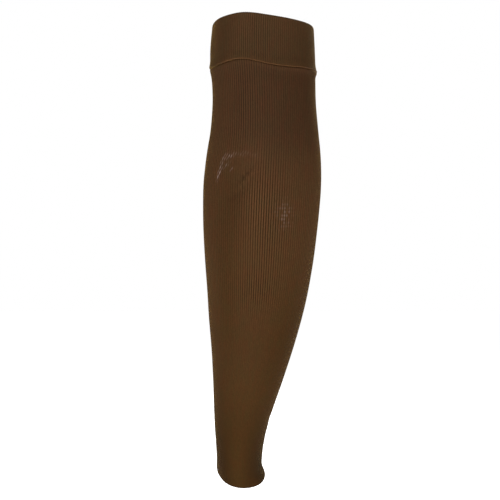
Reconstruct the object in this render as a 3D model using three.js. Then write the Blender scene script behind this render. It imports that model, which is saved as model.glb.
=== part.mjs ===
// A compression arm sleeve: a seamless rib-knit tube, shaped to an arm that hangs a little bent at
// the elbow, and a doubled rib-knit band at its top. Where the band is joined to the tube, the
// turned-in edges stand out as a soft roll. Both ends are open.
//
// Units are millimetres. +Z runs up the arm, -Y is the elbow's side and +Y the crook's, and +X is
// the right-hand side for someone who looks at the elbow. The origin is on the upper arm's axis,
// about half way up the top band, because the upper arm holds the sleeve up there.

import * as THREE from "three";

// ---- Driving sizes ----

const TUBE_WALL = 1.2; // the knit under its ribs
const BAND_WALL = 2.2; // the same knit, folded double
const SEAM_GAP = 0.3; // between the band's lower edge and the tube's upper edge

const TUBE_RIBS = 136; // knitted ribs round the tube, the same number from the band to the cuff
const BAND_RIBS = 152; // the band is knitted a little finer
const RIB_RISE_SHARE = 0.16; // a rib's rise, as a share of the way from one rib to the next
const POINTS_PER_RIB = 2; // a groove and a crest
const RIBS_PER_INNER_POINT = 4; // the inside is plain, so it has fewer points round it
const TUBE_STEPS = 18; // steps from the tube's upper edge to its lower edge

// ---- Sections, from the top down ----
// z, x and y place a section's middle. halfWidth (towards +X) and halfDepth (towards +Y) reach to
// the outside of the cloth, in the grooves between the ribs. pitch leans the section's plane so that
// its elbow side is the higher, and roll leans it so that its +X side is the lower, in degrees. arch,
// where there is one, is how far the section rises over the back of the upper arm.

const BAND_SECTIONS = [
  { z: 18.5, x: 0.4, y: 1.0, halfWidth: 47.0, halfDepth: 49.2, pitch: 6.0, roll: 1.8, arch: 4.0 },
  { z: -2, x: 0.0, y: 0.0, halfWidth: 48.4, halfDepth: 49.2, pitch: 3.2, roll: 2.1, arch: 5.0 },
  { z: -22.5, x: 0.2, y: -1.2, halfWidth: 48.8, halfDepth: 49.0, pitch: 0.4, roll: 2.4, arch: 6.0 },
];

const TUBE_SECTIONS = [
  { z: -22.5, x: 0.7, y: -1.2, halfWidth: 48.1, halfDepth: 48.3, pitch: 0.4, roll: 2.4, arch: 6.0 },
  { z: -32, x: 0.9, y: -2.2, halfWidth: 47.9, halfDepth: 48.0, pitch: 0.6, roll: 2.3, arch: 5.0 },
  { z: -52, x: 1.5, y: -3.7, halfWidth: 47.8, halfDepth: 47.2, pitch: 1.0, roll: 2.0, arch: 2.5 },
  { z: -78, x: 1.8, y: -6.0, halfWidth: 49.6, halfDepth: 46.0, pitch: 1.0, roll: 1.5 },
  { z: -96, x: 1.2, y: -7.5, halfWidth: 51.8, halfDepth: 45.3, pitch: 0.0, roll: 1.0 },
  { z: -112, x: 0.3, y: -8.5, halfWidth: 53.4, halfDepth: 44.5, pitch: -1.0, roll: 1.0 },
  { z: -128, x: -0.5, y: -8.5, halfWidth: 54.1, halfDepth: 44.0, pitch: -3.0, roll: 1.0 },
  { z: -145, x: -1.3, y: -7.0, halfWidth: 53.8, halfDepth: 43.8, pitch: -5.0, roll: 1.0 },
  { z: -170, x: -2.4, y: -3.5, halfWidth: 52.5, halfDepth: 43.5, pitch: -7.5, roll: 1.5 },
  { z: -200, x: -3.5, y: 2.5, halfWidth: 50.0, halfDepth: 42.0, pitch: -10.0, roll: 2.0 },
  { z: -235, x: -5.4, y: 10.5, halfWidth: 45.7, halfDepth: 39.0, pitch: -12.5, roll: 3.0 },
  { z: -270, x: -8.7, y: 18.5, halfWidth: 40.0, halfDepth: 36.5, pitch: -14.5, roll: 4.0 },
  { z: -305, x: -13.4, y: 27.5, halfWidth: 33.7, halfDepth: 34.0, pitch: -16.5, roll: 5.0 },
  { z: -340, x: -19.0, y: 36.5, halfWidth: 27.0, halfDepth: 31.5, pitch: -18.5, roll: 5.5 },
  { z: -368, x: -22.0, y: 44.0, halfWidth: 22.8, halfDepth: 30.0, pitch: -20.5, roll: 6.0 },
  { z: -390, x: -22.3, y: 50.0, halfWidth: 21.4, halfDepth: 29.4, pitch: -22.0, roll: 6.0 },
  { z: -403.5, x: -20.7, y: 53.5, halfWidth: 22.7, halfDepth: 29.6, pitch: -22.5, roll: 6.0 },
];

const ARCH_SIDE = -24; // the way that the arch faces, in degrees from the elbow's side towards +X,
const ARCH_WIDE = 28; // and how many degrees it fades over to either side

// ---- Local forms ----
// Each moves the whole wall out, or in where rise is below 0. z is the height of its middle and
// side the way that it faces, in degrees round the tube from the elbow's side towards +X. It fades
// over tall millimetres up and down and over wide degrees to either side. climb tips its line, so
// that it climbs by so many millimetres for each degree towards +X.

const TUBE_FORMS = [
  { name: "rounding over the elbow", z: -122, side: -34, rise: 1.2, tall: 19, wide: 19, climb: 0 },
  { name: "trough beside the elbow", z: -123, side: -15, rise: -1.1, tall: 9, wide: 12, climb: 1.25 },
  { name: "upper crook fold", z: -98, side: 170, rise: -1.5, tall: 8, wide: 38, climb: -0.12 },
  { name: "main crook fold", z: -119, side: 192, rise: -2.4, tall: 8, wide: 50, climb: 0.08 },
  { name: "lower crook fold", z: -141, side: 176, rise: -1.7, tall: 9, wide: 34, climb: -0.1 },
];

// ---- The seam ----
// The two edges are turned in where band and tube are joined, so that both swell there. The band's
// edge is rounded under and stands out a little further than the tube's.

const TUBE_EDGE_OUT = 0.9; // the tube's swelling at its upper edge,
const TUBE_EDGE_FADE = 5; // and how far below that edge it fades
const BAND_EDGE_OUT = 1.3; // the band's swelling, at its fullest
const BAND_EDGE_ROWS = [
  // up is the height above the band's lower edge, and share how much of the swelling is left.
  { up: 0, share: 0.6 },
  { up: 0.6, share: 0.92 },
  { up: 1.5, share: 1 },
  { up: 3.4, share: 0.55 },
  { up: 6.5, share: 0 },
];
const RIM_ROUNDING = 0.9; // the fold at the band's top edge is rounded over this far down,
const RIM_TURN = 0.35; // and drawn in by this much on either side of the cloth

// ---- Sections between the rows ----

// A smooth curve through some of a table's columns.
function throughColumns(rows, names) {
  const points = rows.map((row) => new THREE.Vector3(...names.map((name) => row[name] ?? 0)));
  return new THREE.CatmullRomCurve3(points, false, "catmullrom");
}

// Gives the section at a share of a table's rows, from 0 at its first to 1 at its last.
function sectionsThrough(rows) {
  const middles = throughColumns(rows, ["x", "y", "z"]);
  const sizes = throughColumns(rows, ["halfWidth", "halfDepth", "arch"]);
  const leans = throughColumns(rows, ["pitch", "roll"]);
  return (share) => {
    const size = sizes.getPoint(share);
    const lean = leans.getPoint(share).multiplyScalar(THREE.MathUtils.DEG2RAD);
    // It starts at the elbow's side and goes round towards +X.
    const outline = new THREE.EllipseCurve(0, 0, size.x, size.y, -0.5 * Math.PI, 1.5 * Math.PI);
    outline.arcLengthDivisions = 360;
    return {
      outline,
      arch: size.z,
      middle: middles.getPoint(share),
      turn: new THREE.Quaternion().setFromEuler(new THREE.Euler(-lean.x, lean.y, 0)),
    };
  };
}

// How many degrees a share of the way round lies from a side, from -180 to 180.
const degreesFrom = (side, round) => THREE.MathUtils.euclideanModulo(360 * round - side + 180, 360) - 180;

const fade = (distance, reach) => Math.exp(-((distance / reach) ** 2));

// Points spread evenly round a section, each one moved out by outAt(index, share round).
function ringOfPoints(section, count, outAt) {
  return Array.from({ length: count }, (_, index) => {
    const round = index / count;
    const onOutline = section.outline.getPointAt(round);
    const along = section.outline.getTangentAt(round);
    const out = outAt(index, round);
    const up = section.arch * fade(degreesFrom(ARCH_SIDE, round), ARCH_WIDE);
    return new THREE.Vector3(onOutline.x + along.y * out, onOutline.y - along.x * out, up)
      .applyQuaternion(section.turn)
      .add(section.middle);
  });
}

// How far the local forms move a point of a section out.
function formsAt(forms, section, round) {
  return forms.reduce((sum, form) => {
    const aside = degreesFrom(form.side, round);
    const above = section.middle.z - form.z - form.climb * aside;
    return sum + form.rise * fade(above, form.tall) * fade(aside, form.wide);
  }, 0);
}

const ribRise = (section, ribs) => (RIB_RISE_SHARE * section.outline.getLength()) / ribs;
const isCrest = (index) => index % POINTS_PER_RIB === 1;

// ---- Rings made into a closed wall ----

// Joins neighbouring rings, the last one to the first too. Of two neighbours, the one with more
// points has a whole number of them for each point of the other.
function closedWall(rings) {
  const starts = [];
  let total = 0;
  for (const ring of rings) {
    starts.push(total);
    total += ring.length;
  }
  const triangles = [];
  rings.forEach((ring, row) => {
    const nextRow = (row + 1) % rings.length;
    const flip = ring.length < rings[nextRow].length;
    const [many, few] = flip ? [nextRow, row] : [row, nextRow];
    const each = rings[many].length / rings[few].length;
    const pointOf = (which, index) => starts[which] + (index % rings[which].length);
    const add = (a, b, c) => triangles.push(...(flip ? [a, c, b] : [a, b, c]));
    for (let index = 0; index < rings[few].length; index++) {
      for (let step = 0; step < each; step++) {
        const point = index * each + step;
        add(pointOf(many, point), pointOf(many, point + 1), pointOf(few, index));
      }
      add(pointOf(many, (index + 1) * each), pointOf(few, index + 1), pointOf(few, index));
    }
  });
  const geometry = new THREE.BufferGeometry().setFromPoints(rings.flat());
  geometry.setIndex(triangles);
  geometry.computeVertexNormals();
  return geometry;
}

// ---- The pieces ----

function sleeveTube() {
  const sectionAt = sectionsThrough(TUBE_SECTIONS);
  const outside = [];
  const inside = [];
  for (let step = 0; step <= TUBE_STEPS; step++) {
    const section = sectionAt(step / TUBE_STEPS);
    const rise = ribRise(section, TUBE_RIBS);
    const below = TUBE_SECTIONS[0].z - section.middle.z;
    const swell = TUBE_EDGE_OUT * fade(below, TUBE_EDGE_FADE);
    const wallOut = (round) => swell + formsAt(TUBE_FORMS, section, round);
    outside.push(
      ringOfPoints(section, TUBE_RIBS * POINTS_PER_RIB, (index, round) =>
        wallOut(round) + (isCrest(index) ? rise : 0)),
    );
    inside.push(
      ringOfPoints(section, TUBE_RIBS / RIBS_PER_INNER_POINT, (_, round) => wallOut(round) - TUBE_WALL),
    );
  }
  return closedWall([...outside.reverse(), ...inside]);
}

function topBand() {
  const sectionAt = sectionsThrough(BAND_SECTIONS);
  const height = BAND_SECTIONS[0].z - BAND_SECTIONS.at(-1).z;
  const outsideRows = [
    ...BAND_EDGE_ROWS.map((row) => ({ out: row.share * BAND_EDGE_OUT, up: SEAM_GAP + row.up })),
    { out: 0, up: height / 2 },
    { out: 0, up: height - RIM_ROUNDING },
    { out: -RIM_TURN, up: height },
  ];
  const insideRows = [
    { out: RIM_TURN - BAND_WALL, up: height },
    { out: -BAND_WALL, up: height - RIM_ROUNDING },
    { out: -BAND_WALL, up: SEAM_GAP },
  ];
  const ringsOf = (rows, count, riseAt) =>
    rows.map((row) => {
      const section = sectionAt(1 - row.up / height);
      return ringOfPoints(section, count, (index) => row.out + riseAt(section, index));
    });
  return closedWall([
    ...ringsOf(outsideRows, BAND_RIBS * POINTS_PER_RIB, (section, index) =>
      isCrest(index) ? ribRise(section, BAND_RIBS) : 0),
    ...ringsOf(insideRows, BAND_RIBS / RIBS_PER_INNER_POINT, () => 0),
  ]);
}

// ---- The sleeve ----

const knit = (color) => new THREE.MeshStandardMaterial({ color, roughness: 0.9, metalness: 0 });

function piece(name, geometry, material) {
  const mesh = new THREE.Mesh(geometry, material);
  mesh.name = name;
  return mesh;
}

const sleeve = new THREE.Group();
sleeve.add(piece("sleeve_tube", sleeveTube(), knit(0x4c3420)));
sleeve.add(piece("top_band", topBand(), knit(0x483222)));

export default sleeve;
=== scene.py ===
# %% [markdown]
# # A compression arm sleeve
#
# The real sleeve is one seamless tube of fine rib knit, with a doubled band of finer rib linked to
# its top. It is shown filled out, as on an arm that hangs a little bent at the elbow, with nobody
# in it. A knit has no thickness worth sculpting, so the whole lesson is about one idea: a thin
# shell of cloth, laid course by course on a form, with its finish following the stitches.
#
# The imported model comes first. It fixes the size and place of everything that follows, so the
# script never has to guess where a piece belongs.

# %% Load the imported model
import math

import bpy
import numpy as np
from mathutils import Matrix, Vector


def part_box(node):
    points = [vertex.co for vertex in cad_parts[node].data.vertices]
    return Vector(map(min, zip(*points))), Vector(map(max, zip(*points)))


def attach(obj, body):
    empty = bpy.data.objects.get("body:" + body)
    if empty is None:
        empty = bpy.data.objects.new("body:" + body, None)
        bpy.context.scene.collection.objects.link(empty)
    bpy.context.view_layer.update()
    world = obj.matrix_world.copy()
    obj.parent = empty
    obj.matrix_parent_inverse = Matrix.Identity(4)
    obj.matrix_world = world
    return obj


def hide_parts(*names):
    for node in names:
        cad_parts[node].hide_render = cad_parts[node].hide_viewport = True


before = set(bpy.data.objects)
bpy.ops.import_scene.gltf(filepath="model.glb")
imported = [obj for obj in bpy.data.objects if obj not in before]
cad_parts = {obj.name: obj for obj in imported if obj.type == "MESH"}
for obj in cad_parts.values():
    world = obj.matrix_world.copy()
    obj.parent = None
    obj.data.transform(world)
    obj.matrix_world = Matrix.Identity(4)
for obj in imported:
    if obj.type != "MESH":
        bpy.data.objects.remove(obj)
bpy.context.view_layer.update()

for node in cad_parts:
    low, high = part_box(node)
    print(node, "from", [round(n, 4) for n in low], "to", [round(n, 4) for n in high])

# %% [markdown]
# ## The form that the cloth is stretched over
#
# A sleeve could be sculpted, or a cylinder could be bent and scaled loop by loop. Here it is
# lofted through cross-sections instead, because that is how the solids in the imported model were
# made, and the same sections give the same form to a fraction of a millimetre. Each row of a
# table places one section: the middle of it, half its width and depth, the two ways in which its
# plane leans, in degrees, and how far it arches up over the back of the upper arm. Lengths are in
# metres, as everywhere in Blender.

# %% The sections, from the top down
BAND_SECTIONS = np.array([
    # z, x, y, half width, half depth, pitch, roll, arch
    (0.0185, 0.0004, 0.0010, 0.0470, 0.0492, 6.0, 1.8, 0.0040),
    (-0.0020, 0.0000, 0.0000, 0.0484, 0.0492, 3.2, 2.1, 0.0050),
    (-0.0225, 0.0002, -0.0012, 0.0488, 0.0490, 0.4, 2.4, 0.0060),
])
TUBE_SECTIONS = np.array([
    # z, x, y, half width, half depth, pitch, roll, arch
    (-0.0225, 0.0007, -0.0012, 0.0481, 0.0483, 0.4, 2.4, 0.0060),
    (-0.0320, 0.0009, -0.0022, 0.0479, 0.0480, 0.6, 2.3, 0.0050),
    (-0.0520, 0.0015, -0.0037, 0.0478, 0.0472, 1.0, 2.0, 0.0025),
    (-0.0780, 0.0018, -0.0060, 0.0496, 0.0460, 1.0, 1.5, 0.0),
    (-0.0960, 0.0012, -0.0075, 0.0518, 0.0453, 0.0, 1.0, 0.0),
    (-0.1120, 0.0003, -0.0085, 0.0534, 0.0445, -1.0, 1.0, 0.0),
    (-0.1280, -0.0005, -0.0085, 0.0541, 0.0440, -3.0, 1.0, 0.0),
    (-0.1450, -0.0013, -0.0070, 0.0538, 0.0438, -5.0, 1.0, 0.0),
    (-0.1700, -0.0024, -0.0035, 0.0525, 0.0435, -7.5, 1.5, 0.0),
    (-0.2000, -0.0035, 0.0025, 0.0500, 0.0420, -10.0, 2.0, 0.0),
    (-0.2350, -0.0054, 0.0105, 0.0457, 0.0390, -12.5, 3.0, 0.0),
    (-0.2700, -0.0087, 0.0185, 0.0400, 0.0365, -14.5, 4.0, 0.0),
    (-0.3050, -0.0134, 0.0275, 0.0337, 0.0340, -16.5, 5.0, 0.0),
    (-0.3400, -0.0190, 0.0365, 0.0270, 0.0315, -18.5, 5.5, 0.0),
    (-0.3680, -0.0220, 0.0440, 0.0228, 0.0300, -20.5, 6.0, 0.0),
    (-0.3900, -0.0223, 0.0500, 0.0214, 0.0294, -22.0, 6.0, 0.0),
    (-0.4035, -0.0207, 0.0535, 0.0227, 0.0296, -22.5, 6.0, 0.0),
])
BAND_HEIGHT = BAND_SECTIONS[0, 0] - BAND_SECTIONS[-1, 0]
print("the band is", round(1000 * BAND_HEIGHT, 1), "mm tall, the tube starts under it")

# %% A smooth curve through the rows of a table
STEPS_PER_ROW = 40


def smooth_rows(rows, shares):
    """The rows of a table at these shares of its length, along a smooth curve through all of them."""
    held = np.vstack([2 * rows[0] - rows[1], rows, 2 * rows[-1] - rows[-2]])
    place = np.clip(shares, 0, 1) * (len(rows) - 1)
    first = np.minimum(place.astype(int), len(rows) - 2)
    t = (place - first)[:, None]
    a, b, c, d = (held[first + step] for step in range(4))
    bend = t * (c - a) + t**2 * (2 * a - 5 * b + 4 * c - d) + t**3 * (3 * b - a - 3 * c + d)
    return b + bend / 2


def shares_evenly_down(rows, count):
    """Shares of a table's length that space its sections' middles evenly."""
    shares = np.linspace(0, 1, STEPS_PER_ROW * len(rows))
    middles = smooth_rows(rows, shares)[:, :3]
    gone = np.cumsum(np.linalg.norm(np.diff(middles, axis=0), axis=1))
    gone = np.concatenate([[0], gone])
    return np.interp(np.linspace(0, gone[-1], count), gone, shares)


def girths(sections):
    """The way round each section's ellipse."""
    a, b = sections[:, 3], sections[:, 4]
    return np.pi * (3 * (a + b) - np.sqrt((3 * a + b) * (a + 3 * b)))


for name, table in {"band": BAND_SECTIONS, "tube": TUBE_SECTIONS}.items():
    print(name, "girths in mm:", [round(1000 * n) for n in girths(table)])

# %% [markdown]
# ## Courses of knit
#
# A course is one row of stitches round the sleeve. A closed ring of points stands for it, spread
# evenly round its section. Every ring starts at the crook of the arm, where nobody looks first,
# because the maps that the finish follows have their cut there. A point's side is the way that it
# faces, in degrees: 0 is the elbow, 90 the right-hand side and -180 the crook.

# %% Rings of points, one for each course
ARCH_SIDE = -24  # the way that the arch over the upper arm faces,
ARCH_WIDE = 28  # and how many degrees it fades over
OUTLINE_POINTS = 721  # that measure the way round a section


def fade(distance, reach):
    """A soft bump: 1 where the distance is 0, and nearly gone at twice the reach."""
    return np.exp(-((distance / reach) ** 2))


def from_side(side, sides):
    """How many degrees these sides lie from one side, from -180 to 180."""
    return (sides - side + 180) % 360 - 180


def sides_of(columns):
    """The side that each point of a ring faces, from the crook round to the crook."""
    return np.arange(columns) / columns * 360 - 180


def courses(sections, columns, lift, out):
    """A ring of points for each section, lifted along its axis and moved out from its outline."""
    half_width, half_depth, pitch, roll, arch = sections.T[3:, :, None]
    turned = np.linspace(0.5 * np.pi, 2.5 * np.pi, OUTLINE_POINTS)
    steps = np.hypot(np.diff(half_width * np.cos(turned)), np.diff(half_depth * np.sin(turned)))
    gone = np.hstack([np.zeros((len(sections), 1)), np.cumsum(steps, axis=1)])
    evenly = np.arange(columns) / columns
    angle = np.array([np.interp(evenly * way[-1], way, turned) for way in gone])
    normal_x, normal_y = half_depth * np.cos(angle), half_width * np.sin(angle)
    length = np.hypot(normal_x, normal_y)
    flat_x = half_width * np.cos(angle) + normal_x / length * out
    flat_y = half_depth * np.sin(angle) + normal_y / length * out
    up = lift + arch * fade(from_side(ARCH_SIDE, sides_of(columns)), ARCH_WIDE)
    flat = np.stack(np.broadcast_arrays(flat_x, flat_y, up), axis=2)
    leans = [
        Matrix.Rotation(-math.radians(back), 3, "X") @ Matrix.Rotation(math.radians(down), 3, "Y")
        for back, down in zip(pitch[:, 0], roll[:, 0])
    ]
    leant = np.einsum("rij,rcj->rci", np.array(leans), flat)
    return leant + sections[:, None, [1, 2, 0]]


print("a course of the band at its middle starts at",
      courses(BAND_SECTIONS[1:2], 8, 0, 0)[0, 0].round(4))

# %% [markdown]
# ## Creases
#
# Compression cloth is tight, so it has few folds. The form has the large ones: a soft rounding
# over the elbow, a trough beside it, and the folds that gather in the crook. Smaller creases are
# listed and laid over them here. Each one is a soft trough with a low shoulder on either side, and
# no two have the same length, width or tilt, because evenly spaced creases look combed.

# %% Forms and creases, as short tables
FORMS = [
    # z, side, rise, tall, wide (degrees), climb (metres for each degree)
    # The large forms, which the solids have too
    (-0.122, -34, 0.0012, 0.019, 19, 0.0),
    (-0.123, -15, -0.0011, 0.009, 12, 0.00125),
    (-0.098, 170, -0.0015, 0.008, 38, -0.00012),
    (-0.119, 192, -0.0024, 0.008, 50, 0.00008),
    (-0.141, 176, -0.0017, 0.009, 34, -0.0001),
    # Slight swellings and hollows of the cloth alone
    (-0.092, -92, 0.0004, 0.024, 40, 0.0),
    (-0.135, 88, 0.0003, 0.080, 40, 0.0),
    (-0.240, -33, -0.0008, 0.060, 13, 0.0),
    (-0.258, -92, 0.0006, 0.022, 40, 0.0),
    (-0.3450, 88, -0.0006, 0.005, 30, 0.0),
    (-0.346, 88, 0.0011, 0.032, 45, 0.0),
    (-0.355, -90, 0.0003, 0.018, 40, 0.0),
    (-0.3680, 88, 0.0004, 0.005, 30, 0.0),
    (-0.380, 88, 0.0005, 0.010, 40, 0.0),
    (-0.4010, -97, 0.0005, 0.006, 24, 0.0),
    (-0.4035, -62, -0.0009, 0.003, 26, 0.0),
    (-0.4035, 88, 0.0007, 0.003, 30, 0.0),
]
CREASES = [
    # z, side, long, wide, tilt (degrees from level), rise
    # Beside the elbow and under it
    (-0.1203, -19.0, 0.0085, 0.0015, 46, -0.00130),
    (-0.1236, -17.3, 0.0120, 0.0014, 46, 0.00110),
    (-0.1150, -47, 0.0090, 0.0030, 62, -0.00035),
    (-0.1370, -29, 0.0100, 0.0030, 30, -0.00045),
    (-0.1300, 33, 0.0120, 0.0030, -12, -0.00022),
    (-0.1380, 47, 0.0090, 0.0026, -20, -0.00018),
    # In the crook and over it
    (-0.0890, 158, 0.0240, 0.0036, 8, -0.00070),
    (-0.1060, -166, 0.0200, 0.0030, -7, -0.00080),
    (-0.1110, 142, 0.0180, 0.0030, 12, -0.00065),
    (-0.1280, 168, 0.0260, 0.0034, 4, -0.00090),
    (-0.1330, -150, 0.0170, 0.0030, -14, -0.00060),
    (-0.1500, -178, 0.0210, 0.0040, -5, -0.00065),
    (-0.1630, 150, 0.0160, 0.0044, 17, -0.00045),
    (-0.0740, -172, 0.0150, 0.0046, -18, -0.00040),
    (-0.0560, 118, 0.0160, 0.0050, 66, -0.00035),
    (-0.0480, -128, 0.0130, 0.0044, -70, -0.00035),
    # Down the forearm's hidden side
    (-0.2050, 172, 0.0300, 0.0070, 71, -0.00040),
    (-0.2600, -160, 0.0260, 0.0060, -76, -0.00035),
    # At the wrist
    (-0.3880, 62, 0.0055, 0.0016, 62, -0.00035),
    (-0.3950, 74, 0.0050, 0.0015, 70, -0.00035),
    (-0.3990, -32, 0.0020, 0.0016, 30, -0.00050),
    (-0.3700, 176, 0.0120, 0.0030, 12, -0.00045),
    (-0.3830, -158, 0.0100, 0.0026, -9, -0.00045),
]
SHOULDER = 0.8  # how strongly the cloth swells beside a crease
CREASE_SHADE = 260  # painted shade for each metre of a crease's depth, and painted light for each metre it rises


def forms_out(sections, sides):
    """How far the form itself moves the cloth out, for each section and side."""
    out = np.zeros((len(sections), len(sides)))
    for z, side, rise, tall, wide, climb in FORMS:
        aside = from_side(side, sides)
        above = sections[:, :1] - z - climb * aside
        out += rise * fade(above, tall) * fade(aside, wide)
    return out


def creases_out(sections, sides):
    """How far the hand-laid creases move the cloth out."""
    out = np.zeros((len(sections), len(sides)))
    round_each_degree = girths(sections)[:, None] / 360
    for z, side, long, wide, tilt, rise in CREASES:
        level = from_side(side, sides) * round_each_degree
        above = sections[:, :1] - z
        lean = math.radians(tilt)
        along = level * math.cos(lean) + above * math.sin(lean)
        across = (above * math.cos(lean) - level * math.sin(lean)) / wide
        out += rise * (1 - SHOULDER * across**2) * fade(across, 1) * fade(along, long)
    return out


print(len(FORMS), "forms and", len(CREASES), "creases, the deepest", min(c[5] for c in CREASES), "m")

# %% [markdown]
# ## Courses that rise and dip
#
# Cut from its machine, an edge of knit never lies in a plane. The rim, the seam and the cuff each
# rise a little in some places and dip in others. A short table lifts the courses near them by a
# millimetre or two, and the band and the tube read the same table, so that the seam stays closed.

# %% Rises and dips near the edges
WAVES = [
    # z, side, tall, wide (degrees), rise
    # The rim
    (0.0185, -62, 0.012, 22, 0.0020),
    (0.0185, 75, 0.012, 25, 0.0010),
    (0.0185, 20, 0.012, 20, 0.0003),
    # The seam
    (-0.0225, 48, 0.012, 26, 0.0015),
    (-0.0225, 96, 0.012, 30, 0.0015),
    (-0.0225, -88, 0.012, 25, 0.0009),
    # The cuff
    (-0.4035, 60, 0.008, 25, -0.0010),
]


def waves_up(sections, sides):
    """How far each course is lifted, for each section and side."""
    up = np.zeros((len(sections), len(sides)))
    for z, side, tall, wide, rise in WAVES:
        up += rise * fade(sections[:, :1] - z, tall) * fade(from_side(side, sides), wide)
    return up


print("the highest rise is", max(wave[-1] for wave in WAVES), "m")

# %% [markdown]
# ## Where the cloth looks different
#
# Where knit is stretched, its grooves open, so that the pale elastic core shows between the
# stitches. Ribbing sets how deep the ribs' bump is and how much painted shade their grooves get.
# The cloth is also painted lighter where light falls on it and darker where it turns away, as
# painted shading. Four looks are stored on the mesh as named attributes, one number for each
# point: stretch, ribbing, the painted shading and olive. A first table changes them with height,
# and a second lays soft patches over that.

# %% Looks by height, and patches
LOOKS = ("stretch", "ribbing", "painted_shading", "olive")
# The painted shading column is painted light and shade down the sleeve: darker at the wrist and upper
# arm, lighter over the elbow and along the seam's roll.
BY_HEIGHT = np.array([
    # z (from the cuff up), stretch, ribbing, painted shading, olive
    (-0.400, 0.0, 0.10, -0.24, 1.0),
    (-0.385, 0.0, 0.11, -0.25, 1.0),
    (-0.360, 0.0, 0.12, -0.25, 1.0),
    (-0.320, 0.0, 0.14, -0.11, 0.8),
    (-0.280, 0.0, 0.15, -0.09, 0.6),
    (-0.262, 0.0, 0.18, -0.08, 0.6),
    (-0.240, 0.0, 0.45, -0.04, 0.5),
    (-0.228, 0.0, 0.60, -0.02, 0.5),
    (-0.190, 0.0, 0.60, 0.05, 0.4),
    (-0.140, 0.0, 0.60, 0.06, 0.3),
    (-0.105, 0.0, 0.60, 0.09, 0.15),
    (-0.080, 0.0, 0.60, -0.03, 0.0),
    (-0.045, 0.0, 0.60, -0.08, 0.0),
    (-0.0270, 0.0, 0.60, -0.11, 0.0),
    (-0.0226, 0.0, 0.60, 0.06, 0.0),
    (-0.0215, 0.0, 0.40, 0.16, 0.0),
    (-0.0165, 0.0, 0.60, -0.04, 0.0),
    (0.000, 0.0, 0.60, 0.00, 0.0),
    (0.019, 0.0, 0.60, 0.06, 0.0),
])
# The patches' painted shading is painted light where light falls on the sleeve and painted shade
# where it turns away.
PATCHES = [
    # z, side, tall, wide (degrees), stretch, ribbing, painted shading, olive
    # The band
    (0.019, 52, 0.010, 14, 0.0, 0.0, 0.08, 0.0),
    (0.010, -68, 0.022, 13, 0.0, 0.0, 0.22, 0.0),
    (0.000, -8, 0.030, 22, 0.0, 0.9, 0.00, 0.0),
    (0.000, -22, 0.018, 10, 0.0, 0.0, 0.08, 0.0),
    (0.000, -49, 0.020, 12, 0.0, 0.0, -0.09, 0.0),
    (-0.010, 80, 0.050, 16, 0.0, 0.0, -0.16, 0.0),
    (-0.0215, -72, 0.004, 22, 0.0, 0.0, -0.22, 0.0),
    # The upper arm
    (-0.029, 3, 0.007, 24, 0.0, 0.0, -0.06, 0.0),
    (-0.060, -28, 0.036, 17, 0.0, 1.3, 0.00, 0.0),
    (-0.060, 0, 0.036, 20, 0.0, 0.4, 0.00, 0.0),
    (-0.065, 20, 0.050, 34, 0.0, 0.0, -0.13, 0.0),
    (-0.070, -62, 0.055, 28, 0.0, 0.0, 0.12, 0.0),
    (-0.095, -68, 0.035, 12, 0.0, 0.0, 0.06, 0.0),
    (-0.098, 18, 0.022, 26, 0.0, 0.0, -0.08, 0.0),
    # The elbow and the forearm's top
    (-0.110, -24, 0.016, 14, 0.0, -0.9, 0.00, 0.0),
    (-0.118, -16, 0.014, 9, 0.0, 0.0, -0.09, 0.0),
    (-0.130, -2, 0.030, 24, 0.0, 1.1, 0.08, 0.0),
    (-0.137, -27, 0.020, 9, 0.0, 0.0, -0.12, 0.0),
    (-0.145, -3, 0.030, 9, 0.0, 0.0, 0.10, 0.0),
    (-0.150, 72, 0.065, 18, 0.0, 0.0, 0.14, 0.0),
    (-0.150, -35, 0.052, 15, 0.0, 0.0, -0.20, 0.2),
    (-0.152, 25, 0.009, 8, 1.0, 0.0, 0.00, 0.0),
    (-0.175, 8, 0.040, 30, 0.0, 1.3, 0.05, 0.0),
    (-0.185, -48, 0.050, 12, 0.0, 0.0, -0.08, 0.0),
    # The forearm
    (-0.218, -4, 0.016, 24, 0.0, 1.3, 0.04, 0.0),
    (-0.225, -40, 0.050, 12, 0.0, 0.0, -0.10, 0.2),
    (-0.235, -70, 0.050, 18, 0.0, 0.0, 0.14, 0.0),
    (-0.262, 44, 0.060, 28, 0.0, 0.0, -0.12, 0.3),
    (-0.300, -68, 0.030, 12, 0.0, 0.0, 0.09, 0.0),
    (-0.305, -10, 0.020, 20, 0.0, 0.0, 0.05, 0.0),
    # The wrist
    (-0.378, -72, 0.020, 14, 0.0, 0.0, -0.20, 0.0),
    (-0.380, -2, 0.034, 20, 0.0, 0.0, 0.15, 0.0),
    (-0.387, -50, 0.030, 30, 0.0, 0.0, -0.17, 0.0),
    (-0.389, 80, 0.030, 40, 0.0, 0.0, -0.40, 0.1),
    (-0.402, 40, 0.008, 16, 0.0, 0.0, 0.12, 0.0),
    # The crook and both sides, nearly all the way down
    (-0.120, 172, 0.150, 45, 0.0, 0.6, 0.00, 0.0),
    (-0.120, 90, 0.150, 22, 0.0, 0.5, 0.00, 0.0),
    (-0.120, -100, 0.150, 22, 0.0, 0.5, 0.00, 0.0),
]


def looks_over(sections, sides):
    """Each look, for each section and side. A crease gets painted shade in its trough and painted
    light where it rises.
    """
    heights = sections[:, :1]
    looks = {}
    for column, look in enumerate(LOOKS, start=1):
        base = np.interp(heights, BY_HEIGHT[:, 0], BY_HEIGHT[:, column])
        looks[look] = base + np.zeros(len(sides))
        for z, side, tall, wide, *amounts in PATCHES:
            patch = fade(heights - z, tall) * fade(from_side(side, sides), wide)
            looks[look] = looks[look] + amounts[column - 1] * patch
    # Creases get painted shade in their troughs and painted light on their raised shoulders and
    # ridges.
    looks["painted_shading"] = looks["painted_shading"] + CREASE_SHADE * creases_out(sections, sides)
    return looks


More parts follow.
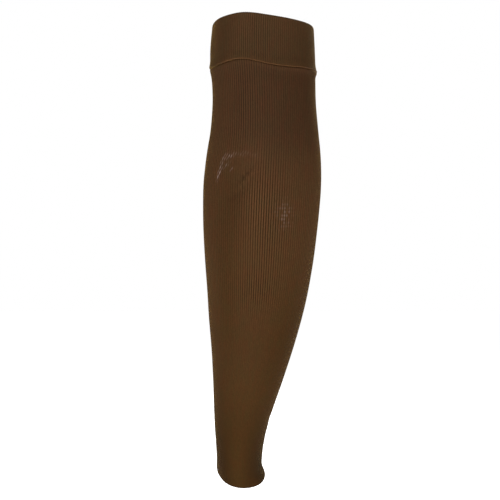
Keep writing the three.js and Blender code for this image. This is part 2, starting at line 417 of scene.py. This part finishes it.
print(len(PATCHES), "patches of", ", ".join(LOOKS))

# %% [markdown]
# ## A closed wall of knit
#
# A thin sheet could get its thickness from a Solidify modifier. That gives both faces the same
# ribs, and this cloth is ribbed outside and plain inside, so the courses themselves go down the
# outside, round the edge, up the inside and round the other edge. Each wall gets two maps. The
# one named knit counts ribs across and courses down, and the finish reads it. The other unrolls
# the wall flat, for anyone who bakes the finish to an image.

# %% Join courses into a wall
COURSE = 0.0012  # from one row of stitches to the next
INSIDE_SHARE = 0.15  # of its height that the inside gets on the flat map
RIB_BREADTH = 0.8  # less makes crests broader and grooves narrower


def add_map(mesh, name, across, down):
    """A UV map with these two values at each corner of each face."""
    values = np.stack(np.broadcast_arrays(across, down), axis=-1)
    mesh.uv_layers.new(name=name).uv.foreach_set("vector", values.ravel())


def knit_wall(name, rings, ribs, inside_from, looks):
    """Joins a stack of rings, the last to the first too. From row inside_from on, it is inside."""
    rows, columns = rings.shape[:2]
    row, column = np.meshgrid(np.arange(rows), np.arange(columns), indexing="ij")
    corner_row = row[..., None] + np.array([0, 1, 1, 0])
    corner_column = column[..., None] + np.array([0, 0, 1, 1])
    corners = corner_row % rows * columns + corner_column % columns
    mesh = bpy.data.meshes.new(name)
    mesh.from_pydata(rings.reshape(-1, 3), [], corners.reshape(-1, 4))

    heights = np.linalg.norm(np.roll(rings, -1, axis=0) - rings, axis=2).mean(axis=1)
    inside = np.arange(rows) >= inside_from
    down = np.concatenate([[0], np.cumsum(heights)]) / COURSE
    unrolled = np.concatenate([[0], np.cumsum(heights * np.where(inside, INSIDE_SHARE, 1))])
    add_map(mesh, "knit", corner_column / columns * ribs, down[corner_row])
    add_map(mesh, "OFBake", corner_column / columns, 1 - unrolled[corner_row] / unrolled[-1])
    mesh.polygons.foreach_set("material_index", np.repeat(inside, columns).astype(np.int32))
    for look, values in looks.items():
        mesh.attributes.new(look, "FLOAT", "POINT").data.foreach_set("value", values.ravel())
    mesh.shade_smooth()
    mesh.validate()
    piece = bpy.data.objects.new(name, mesh)
    bpy.context.collection.objects.link(piece)
    print(name, rows, "courses of", columns, "points,", 2 * rows * columns, "triangles")
    return piece


def rib_wave(columns, ribs):
    """Round a course, from 0 in the grooves between the ribs to 1 on their crests."""
    return np.sin(np.pi * (np.arange(columns) / columns * ribs % 1)) ** RIB_BREADTH


# %% [markdown]
# ## The tube
#
# The tube has 136 ribs from the band to the cuff. They aren't cut anywhere: as the arm narrows,
# the knitting machine makes smaller stitches, so the ribs only draw closer together. Four points
# for each rib are enough for a round crest and a narrow groove. The courses are closer together
# near both ends. The cuff is rounded over, and the top edge is a thin tongue that fits in the band.

# %% Build the tube
RIB_RISE = 0.12  # of a rib's width
POINTS_PER_RIB = 4
TUBE_WALL = 0.0012
TUBE_RIBS = 136
TUBE_ROWS_OUTSIDE = 132
TUBE_ROWS_INSIDE = 30
CROWDING = 0.45  # how much closer together the courses are near both ends
EVEN_STEPS = 400  # that measure the way down the tube
EDGE_STEPS = 4  # courses round the cuff's edge
TUBE_PROUD = 0.0002  # how far the cloth lies outside the sections
TUBE_EDGE_OUT = 0.0016  # how far the tube swells at its seam,
TUBE_EDGE_FADE = 0.0050  # how far down that fades,
TUBE_EDGE_UNEVEN = 0.0020  # and how much further it reaches on the left
CUFF_ROUNDING = 0.0006
FLAT_NEAR_SEAM = 0.0010  # how far under the seam the ribs begin
TONGUE = np.array([
    # height over the tube's edge, out from its sections
    (0.0011, -0.0010),
    (0.0013, -0.0007),
    (0.0010, -0.0004),
    (0.0, -0.0003),
    (0.0001, 0.0006),
])


def crowded(count):
    """From 0 to 1 in so many steps, closer together at both ends."""
    even = np.linspace(0, 1, count)
    return even - CROWDING * np.sin(math.tau * even) / math.tau


def tube_sections(count):
    """Sections from the tube's upper edge to its lower one."""
    evenly = shares_evenly_down(TUBE_SECTIONS, EVEN_STEPS)
    shares = np.interp(crowded(count), np.linspace(0, 1, EVEN_STEPS), evenly)
    return smooth_rows(TUBE_SECTIONS, shares)


def under_the_seam(sections):
    """How far down from the tube's upper edge each section lies."""
    return TUBE_SECTIONS[0, 0] - sections[:, :1]


def seam_swelling(sections, sides):
    """The tube stands out a little where it is linked, further down on its left than its right."""
    reach = TUBE_EDGE_FADE - TUBE_EDGE_UNEVEN * np.sin(np.radians(sides))
    return TUBE_EDGE_OUT * fade(under_the_seam(sections), reach)


def tube_surface(sections, sides):
    """How far the tube's wall lies outside the sections, without ribs and swelling."""
    return TUBE_PROUD + forms_out(sections, sides) + creases_out(sections, sides)


def rib_rises(sections, ribs):
    """How far the ribs of each section stand out."""
    return (RIB_RISE * girths(sections) / ribs)[:, None]


def build_tube():
    """The tube's wall: down the outside, round the cuff, up the inside and over the tongue."""
    columns = TUBE_RIBS * POINTS_PER_RIB
    sides = sides_of(columns)
    wave = rib_wave(columns, TUBE_RIBS)
    outer = tube_sections(TUBE_ROWS_OUTSIDE)
    inner = tube_sections(TUBE_ROWS_INSIDE)[::-1]
    edge_turn = np.linspace(0, math.pi, EDGE_STEPS + 2)[1:-1, None]
    cuff = np.repeat(outer[-1:], EDGE_STEPS, axis=0)
    top = np.repeat(outer[:1], len(TONGUE), axis=0)

    ribs_out = rib_rises(outer, TUBE_RIBS) * (1 - fade(under_the_seam(outer), FLAT_NEAR_SEAM)) * wave
    cuff_ribs = rib_rises(cuff, TUBE_RIBS) * wave * np.cos(edge_turn / 2)
    sections = np.vstack([outer, cuff, inner, top])
    out = tube_surface(sections, sides) + np.vstack([
        ribs_out + seam_swelling(outer, sides),
        cuff_ribs - TUBE_WALL / 2 * (1 - np.cos(edge_turn)),
        np.full((len(inner), columns), -TUBE_WALL),
        np.broadcast_to(TONGUE[:, 1:], (len(TONGUE), columns)),
    ])
    lift = np.zeros((len(sections), 1))
    lift[len(outer):len(outer) + EDGE_STEPS] = -CUFF_ROUNDING * np.sin(edge_turn)
    lift[-len(TONGUE):] = TONGUE[:, :1]
    rings = courses(sections, columns, lift + waves_up(sections, sides), out)
    inside_from = len(outer) + EDGE_STEPS
    return knit_wall("tube_knit", rings, TUBE_RIBS, inside_from, looks_over(sections, sides))


tube = build_tube()

# %% [markdown]
# ## The band
#
# The band is a strip of slightly finer rib, folded double with the fold at the top, so it is
# ribbed inside as well. Its fold is round, and its lower edge is turned in where it is linked to
# the tube, which makes a soft roll. A short table gives that roll's profile, from the smooth part
# of the band down and under. It ends over a hollow for the tube's edge, which stands up inside the
# roll like a tongue, so that no light shows through the seam.

# %% Build the band
BAND_RIBS = 152
BAND_WALL = 0.0022
BAND_ROWS_OUTSIDE = 40
BAND_ROWS_INSIDE = 34
FOLD_STEPS = 8  # courses over the fold
ROLL_STEPS = 16  # courses down and under the roll
ROLL_FLATTENS = 0.5  # less keeps the ribs further down the roll
INSIDE_RIBS = 0.7  # of the outside's rise
BAND_PROUD = 0.0003
ROLL = np.array([
    # height over the tube's edge, out
    (0.0080, 0.0),
    (0.0050, 0.0003),
    (0.0028, 0.0007),
    (0.0015, 0.0009),
    (0.0007, 0.0007),
    (0.0004, 0.0002),
    (0.0004, -0.0005),
    (0.0018, -0.0012),
])


def build_band():
    """The band's wall: down the outside, round the roll, up the inside and over the fold."""
    columns = BAND_RIBS * POINTS_PER_RIB
    sides = sides_of(columns)
    wave = rib_wave(columns, BAND_RIBS)
    half_wall = BAND_WALL / 2
    fold_turn = np.linspace(math.pi, 0, FOLD_STEPS + 2)[1:-1]
    flat_up = np.linspace(BAND_HEIGHT - half_wall, ROLL[0, 0], BAND_ROWS_OUTSIDE)
    inside_up = np.linspace(ROLL[-1, 0], BAND_HEIGHT - half_wall, BAND_ROWS_INSIDE)
    roll = smooth_rows(ROLL, np.linspace(0, 1, ROLL_STEPS + 1)[1:])

    up = np.concatenate([
        flat_up,
        roll[:, 0],
        inside_up,
        BAND_HEIGHT - half_wall * (1 - np.sin(fold_turn)),
    ])
    out = np.concatenate([
        np.zeros(len(flat_up)),
        roll[:, 1],
        np.full(len(inside_up), -BAND_WALL),
        half_wall * (np.cos(fold_turn) - 1),
    ])
    ribbed_out = np.concatenate([
        np.ones(len(flat_up)),
        np.linspace(1, 0, len(roll)) ** ROLL_FLATTENS,
        np.linspace(0, -1, len(inside_up)).clip(-INSIDE_RIBS, 0),
        np.cos(fold_turn),
    ])
    ribbed_up = np.concatenate([np.zeros(len(up) - FOLD_STEPS), np.sin(fold_turn)])

    sections = smooth_rows(BAND_SECTIONS, 1 - up / BAND_HEIGHT)
    rise = rib_rises(sections, BAND_RIBS) * wave
    lift = ribbed_up[:, None] * rise + waves_up(sections, sides)
    ribbed = BAND_PROUD + out[:, None] + ribbed_out[:, None] * rise
    rings = courses(sections, columns, lift, ribbed)
    inside_from = len(flat_up) + len(roll)
    return knit_wall("band_knit", rings, BAND_RIBS, inside_from, looks_over(sections, sides))


band = build_band()

# %% [markdown]
# ## The linking
#
# A linking machine joins the band to the tube loop by loop, with one thread. From outside that
# shows as a fine chain along the band's lower edge, and inside there is another. One stitch is
# modelled from a small sphere, stretched and tipped, and then set round the seam as often as the
# band has ribs. On the left the roll half hides the chain, so it lies deeper there. All the
# stitches are one mesh, because hundreds of objects would only slow the scene down.

# %% Model one stitch
STITCH_LONG = 0.0013  # half a stitch's length
STITCH_THICK = 0.00042  # and half its thickness
STITCH_TIP = math.radians(14)

bpy.ops.object.select_all(action="DESELECT")
bpy.ops.mesh.primitive_uv_sphere_add(segments=8, ring_count=6, radius=1)
stitch = bpy.context.object
bpy.ops.object.mode_set(mode="EDIT")
bpy.ops.mesh.select_all(action="SELECT")
bpy.ops.transform.resize(value=(STITCH_LONG, STITCH_THICK, STITCH_THICK))
bpy.ops.transform.rotate(value=STITCH_TIP, orient_axis="Y", center_override=(0, 0, 0))
bpy.ops.object.mode_set(mode="OBJECT")
stitch_points = np.array([vertex.co for vertex in stitch.data.vertices])
stitch_faces = [list(face.vertices) for face in stitch.data.polygons]
bpy.data.objects.remove(stitch)
print("one stitch has", len(stitch_points), "points and", len(stitch_faces), "faces")

# %% Set the stitches round the seam
LINKS = BAND_RIBS
OUTER_CHAIN = (0.0008, 0.0015)  # height over the tube's edge, and out
INNER_CHAIN = (0.0010, -0.0025)
SUNK = 0.0018  # how much deeper the outer chain lies
SUNK_SIDE = -70  # on this side,
SUNK_WIDE = 26  # and how many degrees that fades over


def stitches_round(height, out):
    """The points of a ring of stitches at a height over the tube's edge, as one array."""
    section = smooth_rows(BAND_SECTIONS, np.array([1 - height / BAND_HEIGHT]))
    up = waves_up(section, sides_of(LINKS))
    at = courses(section, LINKS, up, out)[0]
    outward = courses(section, LINKS, up, out + 1)[0] - at
    along = np.roll(at, -1, axis=0) - np.roll(at, 1, axis=0)
    along /= np.linalg.norm(along, axis=1, keepdims=True)
    upward = np.cross(outward, along)
    axes = np.stack([along, outward, upward], axis=1)
    return at[:, None, :] + np.einsum("sk,lkj->lsj", stitch_points, axes)


def build_linking():
    """Both chains of stitches, as one mesh."""
    sunk = SUNK * fade(from_side(SUNK_SIDE, sides_of(LINKS)), SUNK_WIDE)
    height, out = OUTER_CHAIN
    rings = np.vstack([stitches_round(height, out - sunk), stitches_round(*INNER_CHAIN)])
    count = len(stitch_points)
    faces = [[corner + step * count for corner in face] for step in range(len(rings))
             for face in stitch_faces]
    mesh = bpy.data.meshes.new("linking_stitches")
    mesh.from_pydata(rings.reshape(-1, 3), [], faces)
    mesh.shade_smooth()
    piece = bpy.data.objects.new("linking_stitches", mesh)
    bpy.context.collection.objects.link(piece)
    print(len(rings), "stitches in all")
    return piece


linking = build_linking()

# %% [markdown]
# ## Writing a finish as sums
#
# A knit's pattern is arithmetic on where a point lies in its stitch, and in Blender that means
# dozens of Math nodes. They are quicker to write and to read as Python sums. The small class below
# wraps a socket, and each sign that it meets adds the Math node for it. Every other node comes
# from one method of the finish, which sets the node up before it fills in its sockets.

# %% A class for the sums and one for the finish
class Signal:
    """What a socket carries, as a value that Python's signs work on."""

    def __init__(self, finish, socket):
        self.finish = finish
        self.socket = socket

    def also(self, output):
        """Another output of the node that this one comes from."""
        return Signal(self.finish, self.socket.node.outputs[output])

    def __add__(self, other):
        return self.finish.maths("ADD", self, other)

    def __sub__(self, other):
        return self.finish.maths("SUBTRACT", self, other)

    def __rsub__(self, other):
        return self.finish.maths("SUBTRACT", other, self)

    def __mul__(self, other):
        return self.finish.maths("MULTIPLY", self, other)

    __radd__ = __add__
    __rmul__ = __mul__


class Finish:
    """A material that is built node by node."""

    def __init__(self, name):
        self.material = bpy.data.materials.new(name)
        self.material.use_nodes = True
        self.tree = self.material.node_tree
        self.tree.nodes.clear()

    def node(self, kind, settings=None, inputs=None, output=0):
        """Any node: its settings come first, then the values or links of its sockets."""
        made = self.tree.nodes.new(kind)
        for setting, value in (settings or {}).items():
            setattr(made, setting, value)
        for socket, value in (inputs or {}).items():
            if isinstance(value, Signal):
                self.tree.links.new(value.socket, made.inputs[socket])
            else:
                made.inputs[socket].default_value = value
        return Signal(self, made.outputs[output])

    def maths(self, operation, *values):
        return self.node("ShaderNodeMath", {"operation": operation}, dict(enumerate(values)))

    def between(self, value, low, high):
        """From 0 at low to 1 at high, with a soft start and end."""
        inputs = {"Value": value, "From Min": low, "From Max": high}
        return self.node("ShaderNodeMapRange", {"interpolation_type": "SMOOTHSTEP"}, inputs)

    def bell(self, value, width):
        """1 where a value is 0, fading to 0 over a width to either side."""
        return self.maths("EXPONENT", value * value * (-1 / width**2))

    def wave(self, turns):
        """From 1 down to 0 and back, once for each turn."""
        return self.maths("COSINE", turns * math.tau) * 0.5 + 0.5

    def mixed(self, share, first, second):
        """Two colours mixed, with this share of the second."""
        inputs = {0: share, 6: first, 7: second}
        return self.node("ShaderNodeMix", {"data_type": "RGBA"}, inputs, 2)

    def times(self, colour, factor):
        """A colour made lighter or darker, whatever its hue."""
        inputs = {0: colour, "Scale": factor}
        return self.node("ShaderNodeVectorMath", {"operation": "SCALE"}, inputs)

    def tinted(self, colour, shade):
        """A colour multiplied by another."""
        return self.node("ShaderNodeVectorMath", {"operation": "MULTIPLY"}, {0: colour, 1: shade})

    def stored(self, attribute):
        """A look that is stored on the mesh, point by point."""
        return self.node("ShaderNodeAttribute", {"attribute_name": attribute}, output="Fac")

    def vector(self, x, y):
        return self.node("ShaderNodeCombineXYZ", inputs={0: x, 1: y})

    def noise(self, vector, scale, detail=2.0):
        inputs = {"Vector": vector, "Scale": scale, "Detail": detail}
        return self.node("ShaderNodeTexNoise", inputs=inputs)

    def place(self):
        """Where a point lies on the sleeve."""
        return self.node("ShaderNodeTexCoord", output="Object")

    def height(self):
        place = self.place()
        return self.node("ShaderNodeSeparateXYZ", inputs={0: place}, output="Z")

    def chance(self, vector):
        """An even random number for each whole step of a vector."""
        settings = {"noise_dimensions": "2D"}
        return self.node("ShaderNodeTexWhiteNoise", settings, {"Vector": vector})

    def bump(self, distance, relief):
        return self.node("ShaderNodeBump", inputs={"Distance": distance, "Height": relief})

    def done(self, constants, **varying):
        """The finished material, from its plain values and the ones that vary."""
        shader = self.node("ShaderNodeBsdfPrincipled", inputs={**constants, **varying})
        surface = self.tree.nodes.new("ShaderNodeOutputMaterial").inputs["Surface"]
        self.tree.links.new(shader.socket, surface)
        return self.material


def tint(red, green, blue):
    """A colour as a screen shows it, from 0 to 255, made linear for the shader."""
    shares = [n / 255 for n in (red, green, blue)]
    return (*[n / 12.92 if n <= 0.04045 else ((n + 0.055) / 1.055) ** 2.4 for n in shares], 1.0)


print("mid brown is", [round(n, 3) for n in tint(82, 56, 35)])

# %% [markdown]
# ## The knit
#
# Close up, each rib is a column of stitches, and each stitch a V of two slanting legs. The knit
# map says how far across its rib and how far down its course a point lies, so the V is a wave
# that climbs away from the rib's middle. The yarn is a melange: each leg differs a little, whole
# ribs lean towards red or green for a centimetre or two, and so do soft patches of the cloth.

# %% The finish of the knit
CREST = tint(62, 41, 25)
# The grooves' colour is painted shade, far darker than the yarn, for the shade that falls between the
# ribs.
PAINTED_GROOVE_SHADE = tint(20, 12, 6)
BAND_CREST = tint(61, 42, 25)
OLIVE = (1.0, 0.98, 0.56, 1.0)
WHITE = (1.0, 1.0, 1.0, 1.0)
REDDER = (1.05, 0.97, 0.94, 1.0)
GREENER = (0.96, 1.03, 0.98, 1.0)
CORE = tint(132, 112, 104)
GROOVE_FROM = 0.35  # of the way from a rib's crest to its edge
LEG_SLOPE = 0.8  # how many courses a leg climbs across half a rib
LEG_VARIES = 0.16  # in lightness, from leg to leg
RIB_STRIDE = 7.31  # carries each rib to streaks of its own
STREAK_STRIDE = 0.07  # small, so that a streak runs on for many courses
PATCH_SCALE = 70.0
STREAK_SHARE = 0.6  # of the melange; the rest is patches
LEAN = (0.36, 0.64)  # all redder under the first, all greener over the second
STITCH_RELIEF = 0.00016
SHEEN = {"Sheen Weight": 0.28, "Sheen Roughness": 0.23, "Sheen Tint": tint(255, 206, 114)}
SHINE = {"Specular IOR Level": 0.03}


class Knit:
    """Where a point lies in the stitches, as signals that a finish can read."""

    def __init__(self, finish):
        place = finish.node("ShaderNodeUVMap", {"uv_map": "knit"})
        self.ribs = finish.node("ShaderNodeSeparateXYZ", inputs={0: place})
        self.courses = self.ribs.also("Y")
        self.rib = finish.maths("FLOOR", self.ribs)
        # 0 on a rib's crest and 1 at its edges
        self.aside = finish.maths("ABSOLUTE", finish.maths("FRACT", self.ribs) - 0.5) * 2
        self.climb = self.courses + self.aside * LEG_SLOPE
        self.legs = finish.wave(self.climb)
        self.groove = finish.between(self.aside, GROOVE_FROM, 1.0)
        # An even random number for each leg
        self.leg = finish.chance(
            finish.vector(finish.maths("FLOOR", self.ribs * 2), finish.maths("FLOOR", self.climb))
        )


def melange(finish, knit, colour):
    """Tints a colour by rib, by leg and in soft patches."""
    streaks = finish.noise(finish.vector(knit.rib * RIB_STRIDE, knit.courses * STREAK_STRIDE), 1.0)
    patches = finish.noise(finish.place(), PATCH_SCALE)
    lean = finish.between(streaks * STREAK_SHARE + patches * (1 - STREAK_SHARE), *LEAN)
    shade = finish.mixed(lean, REDDER, GREENER)
    return finish.times(finish.tinted(colour, shade), knit.leg * LEG_VARIES + (1 - LEG_VARIES / 2))


print("a stitch stands", round(1000 * STITCH_RELIEF, 2), "mm out of its row")


# %% [markdown]
# ## The marks that an elbow leaves
#
# At the elbow the yarn's covering has rubbed thin, and its pale core shows in two ways. Beside
# the elbow, short slanting strokes lie along an arc, like the edge of a thumbprint. Lower down
# on the other side, a small patch has single pale stitches. Both are drawn from where a point
# lies in the knit, so they stay on their stitches from wherever they are seen.

# %% Strokes along an arc, and single stitches
RIB_WIDE = 0.0024  # beside the elbow
ARC_RIB = 60.5  # the arcs' middle, counted in ribs from the crook
ARC_HEIGHT = -0.135
ARCS = [
    # radius, change of it for each degree, thickness, middle (degrees), reach, strength
    (0.0322, -0.00010, 0.0017, 149, 10, 1.0),
    (0.0348, -0.00022, 0.0014, 137, 7, 0.9),
    (0.0380, -0.00012, 0.0018, 125, 7, 0.65),
    (0.0352, 0.00006, 0.0018, 114, 11, 0.5),
    (0.0338, 0.0, 0.0022, 86, 18, 0.15),
    (0.0299, 0.0, 0.0015, 128, 8, 0.4),
    (0.0237, 0.0, 0.0012, 124, 5, 0.4),
]
STROKE_LEAN = math.radians(58)
STROKE_APART = 0.0025
STROKE_THICK = 0.26  # to either side, of the way to the next stroke
STROKE_FAINTEST = 0.3
DASH = 2.6  # courses from one single stitch to the next
DASH_LONG = 0.34  # to either side, of that way
DASH_CHANCE = (0.15, 0.95)  # hidden under the first, in full over the second


def arc_strokes(finish, knit):
    """How strongly the slanting strokes show, on all the arcs together."""
    aside = (knit.ribs - ARC_RIB) * RIB_WIDE
    above = finish.height() - ARC_HEIGHT
    radius = finish.maths("SQRT", aside * aside + above * above)
    turn = finish.maths("ARCTAN2", above, aside) * (180 / math.pi)
    stroke = (above * math.cos(STROKE_LEAN) - aside * math.sin(STROKE_LEAN)) * (1 / STROKE_APART)
    chance = finish.chance(finish.vector(finish.maths("FLOOR", stroke), 0.5))
    strength = chance * (1 - STROKE_FAINTEST) + STROKE_FAINTEST
    line = finish.bell(finish.maths("FRACT", stroke) - 0.5, STROKE_THICK) * strength
    shown = 0
    for size, opening, thickness, middle, reach, strong in ARCS:
        on_the_arc = radius - turn * opening - (size - opening * middle)
        along = finish.bell(turn - middle, reach)
        shown = finish.bell(on_the_arc, thickness) * along * strong + shown
    return line * shown


def single_stitches(finish, knit):
    """How strongly single pale stitches show, where the knit is stretched."""
    dash = knit.courses * (1 / DASH)
    here = finish.chance(finish.vector(knit.rib, finish.maths("FLOOR", dash)))
    long = finish.bell(finish.maths("FRACT", dash) - 0.5, DASH_LONG)
    return long * finish.between(here, *DASH_CHANCE) * finish.stored("stretch")


print(len(ARCS), "arcs of strokes, the widest", 2000 * max(arc[0] for arc in ARCS), "mm across")


# %% [markdown]
# ## The finish, put together
#
# The colour runs from the ribs' crests to the grooves between them, which get painted shade,
# is tinted by the melange and the stored looks, painted shading among them, and last the pale
# marks lie on the crests alone. The V of the stitches goes into the bump, because at this size it
# is far too fine to model.

# %% The finish of the cloth
GROOVE_SHARE = 0.5  # of the grooves' painted shade colour, where ribbing is 1
SMOOTH_SHADE = 0.1  # how much darker the knit is painted where its ribs don't show, to even out the grooves' painted shade
SINGLE_STRENGTH = 0.28
RELIEF_SMOOTH = 0.2
RELIEF_RIBBED = 0.28  # what ribbing adds to that
KNIT_ROUGHNESS = 0.78
LEG_GLOSS = 0.12  # how much smoother the top of a leg is


def knit_finish(name, crest, groove):
    """The ribbed outside, with all its looks and marks."""
    finish = Finish(name)
    knit = Knit(finish)
    ribbing = finish.stored("ribbing")
    # Painted shade: the grooves are mixed towards a dark colour, more where ribbing is higher, and
    # smooth knit is painted a little darker to even that out.
    colour = finish.mixed(knit.groove * ribbing * GROOVE_SHARE, crest, groove)
    colour = finish.times(colour, ribbing * SMOOTH_SHADE + (1 - SMOOTH_SHADE))
    colour = finish.tinted(colour, finish.mixed(finish.stored("olive"), WHITE, OLIVE))
    colour = melange(finish, knit, colour)
    # Painted shading: lighter where light falls on the sleeve, darker where it turns away and in
    # creases.
    colour = finish.times(colour, finish.stored("painted_shading") + 1)
    marks = arc_strokes(finish, knit) + single_stitches(finish, knit) * SINGLE_STRENGTH
    colour = finish.mixed(marks * (1 - knit.groove), colour, CORE)
    relief = knit.legs * (1 - knit.groove) * (ribbing * RELIEF_RIBBED + RELIEF_SMOOTH)
    bump = finish.bump(STITCH_RELIEF, relief)
    rough = KNIT_ROUGHNESS - knit.legs * LEG_GLOSS
    varying = {"Base Color": colour, "Roughness": rough, "Normal": bump}
    return finish.done({**SHEEN, **SHINE}, **varying)


tube.data.materials.append(knit_finish("tube_rib_knit", CREST, PAINTED_GROOVE_SHADE))
band_knit = knit_finish("band_rib_knit", BAND_CREST, PAINTED_GROOVE_SHADE)
band.data.materials.append(band_knit)
band.data.materials.append(band_knit)
print("the crests are", [round(n, 3) for n in CREST], "and the grooves",
      [round(n, 3) for n in PAINTED_GROOVE_SHADE])

# %% [markdown]
# ## The inside and the thread
#
# Inside, the tube shows the reverse of its stitches: rows of small loops, which a wave across the
# ribs bends up and down. The linking thread is thicker than the yarn. Its fibres are finer than a
# stitch, so plain noise does for their colour and their bump.

# %% The finish of the inside and of the thread
REVERSE_LIGHT = tint(68, 46, 28)
REVERSE_DARK = tint(44, 29, 17)
LOOPS_PER_RIB = 2
LOOP_SWAY = 0.25  # of a course
THREAD_DARK = tint(70, 46, 27)
THREAD_LIGHT = tint(93, 62, 37)
FIBRE_SCALE = 1600.0
FIBRE_DETAIL = 3.0
FIBRE_RELIEF = 0.0001


def reverse_finish(name):
    """The plain inside of the tube: small purl loops, row over row."""
    finish = Finish(name)
    knit = Knit(finish)
    loops = finish.maths("SINE", knit.ribs * (math.tau * LOOPS_PER_RIB)) * LOOP_SWAY
    rows = finish.wave(knit.courses + loops)
    colour = melange(finish, knit, finish.mixed(rows, REVERSE_DARK, REVERSE_LIGHT))
    bump = finish.bump(STITCH_RELIEF, rows)
    return finish.done({**SHINE, "Roughness": 0.85}, **{"Base Color": colour, "Normal": bump})


def thread_finish(name):
    """The linking thread, in a brown that varies from fibre to fibre."""
    finish = Finish(name)
    fibres = finish.noise(finish.place(), FIBRE_SCALE, FIBRE_DETAIL)
    colour = finish.mixed(fibres, THREAD_DARK, THREAD_LIGHT)
    bump = finish.bump(FIBRE_RELIEF, fibres)
    constants = {"Roughness": 0.6, "Specular IOR Level": 0.05}
    return finish.done(constants, **{"Base Color": colour, "Normal": bump})


tube.data.materials.append(reverse_finish("tube_reverse"))
linking.data.materials.append(thread_finish("linking_thread"))
for piece in (tube, band, linking):
    for material in piece.data.materials:
        print(piece.name, material.name, len(material.node_tree.nodes), "nodes")

# %% [markdown]
# ## What stands for what
#
# The solids stay in the model for collision, and the knit pieces stand for them in the picture.
# The stitches go with the band.

for piece, node, slot in ((tube, "sleeve_tube", "sleeve_knit"), (band, "top_band", "band_knit")):
    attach(piece, "root")
    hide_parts(node)
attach(linking, "root")
print("tied", [piece.name for piece in (tube, band, linking)])

# %% [markdown]
# ## The floor and the white around it
#
# The sleeve hangs over a pale floor. Two things have to hold at once: everything around the sleeve
# is white, and yet the cloth is lit gently from the front, not from all sides. So the floor glows
# a little by itself, which also sends soft light up the forearm. The world is full white to the
# camera's own rays and dim to all others. A Light Path node tells the two apart.

# %% Floor and world
FLOOR_SIZE = 12.0
FLOOR_UNDER = 0.06  # how far it lies under the cuff
FLOOR_PALE = (0.9, 0.9, 0.9, 1.0)
FLOOR_GLOW = 0.9
WORLD_LIGHT = 0.12

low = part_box("sleeve_tube")[0]
bpy.ops.object.select_all(action="DESELECT")
bpy.ops.mesh.primitive_plane_add(size=FLOOR_SIZE, location=(0, 0, low.z - FLOOR_UNDER))
floor = bpy.context.object
floor.name = "floor"
bpy.ops.object.transform_apply(location=True)
floor_finish = Finish("pale_floor")
floor_glow = {"Emission Color": WHITE, "Emission Strength": FLOOR_GLOW}
floor_paint = {"Base Color": FLOOR_PALE, "Roughness": 0.9, **floor_glow}
floor.data.materials.append(floor_finish.done(floor_paint))
print("the floor lies at", round(low.z - FLOOR_UNDER, 3))

world = bpy.data.worlds.new("white_studio")
world.use_nodes = True
backdrop = world.node_tree.nodes["Background"]
backdrop.inputs["Color"].default_value = WHITE
seen = world.node_tree.nodes.new("ShaderNodeLightPath").outputs["Is Camera Ray"]
strength = world.node_tree.nodes.new("ShaderNodeMapRange")
strength.inputs["To Min"].default_value = WORLD_LIGHT
world.node_tree.links.new(seen, strength.inputs["Value"])
world.node_tree.links.new(strength.outputs[0], backdrop.inputs["Strength"])
bpy.context.scene.world = world
print("the world lights the cloth at", WORLD_LIGHT, "of its own white")

# %% [markdown]
# ## Lamps and camera
#
# One large soft lamp near the camera gives the gentle fall-off towards the sleeve's sides. A small
# hard lamp would draw a bright stripe down every rib. A second lamp behind keeps the crook's folds
# readable, and a third, overhead, reaches a little way into the top. The camera has a long lens,
# far away, so that the sleeve's sides stay nearly parallel.

# %% Lamps and camera
LAMPS = [
    # name, place, what it points at, size, power
    ("key_lamp", (-0.18, -1.5, -0.1), (0.0, 0.0, -0.2), 0.7, 22.0),
    ("back_lamp", (0.5, 1.4, 0.7), (0.0, 0.0, -0.15), 0.9, 20.0),
    ("top_lamp", (0.1, 0.4, 1.6), (0.0, 0.0, -0.1), 0.6, 12.0),
]
CAMERA_AT = (-0.0118, -1.509, -0.1885)
CAMERA_LENS = 116.13
SENSOR = 36.0

for name, place, target, size, power in LAMPS:
    towards = Vector(target) - Vector(place)
    bpy.ops.object.light_add(type="AREA", location=place)
    lamp = bpy.context.object
    lamp.name = name
    lamp.data.size = size
    lamp.data.energy = power
    lamp.rotation_euler = towards.to_track_quat("-Z", "Y").to_euler()
    print(name, power, "W,", round(towards.length, 2), "m away")

bpy.ops.object.camera_add(location=CAMERA_AT, rotation=(math.pi / 2, 0, 0))
camera = bpy.context.object
camera.data.lens = CAMERA_LENS
camera.data.sensor_width = SENSOR
bpy.context.scene.camera = camera
bpy.context.scene.view_settings.view_transform = "Standard"
